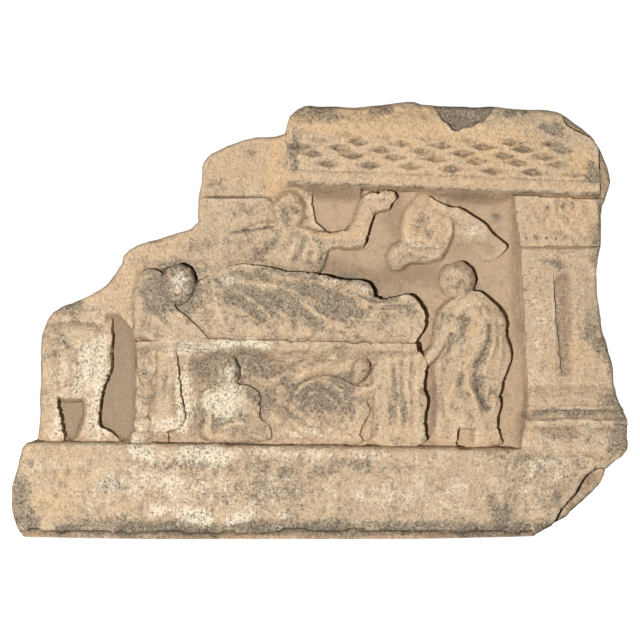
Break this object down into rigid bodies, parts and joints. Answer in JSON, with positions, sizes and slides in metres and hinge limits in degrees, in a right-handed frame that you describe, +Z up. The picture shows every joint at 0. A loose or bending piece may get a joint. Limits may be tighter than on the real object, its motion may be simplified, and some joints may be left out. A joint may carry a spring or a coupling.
{
  "type": "stone relief panel",
  "caption": "Broken stone relief panel: a death-bed scene with mourners under a latticed lintel, a pilaster at one side and a plain ledge below, standing on its flat underside.",
  "frame": {"origin": "middle of the underside, halfway between the flat back and the front of the ledge", "axes": "+X to the viewer's right along the panel, +Y from the carved front to the flat back, +Z up"},
  "size_m": [0.5, 0.09, 0.356],
  "materials": {
    "weathered_stone": "weathered schist: sandy ochre patina over grey stone, worn, chipped and unpolished, with pale deposits"
  },
  "bodies": {
    "root": {"relief_panel": "weathered_stone"}
  },
  "joints": []
}
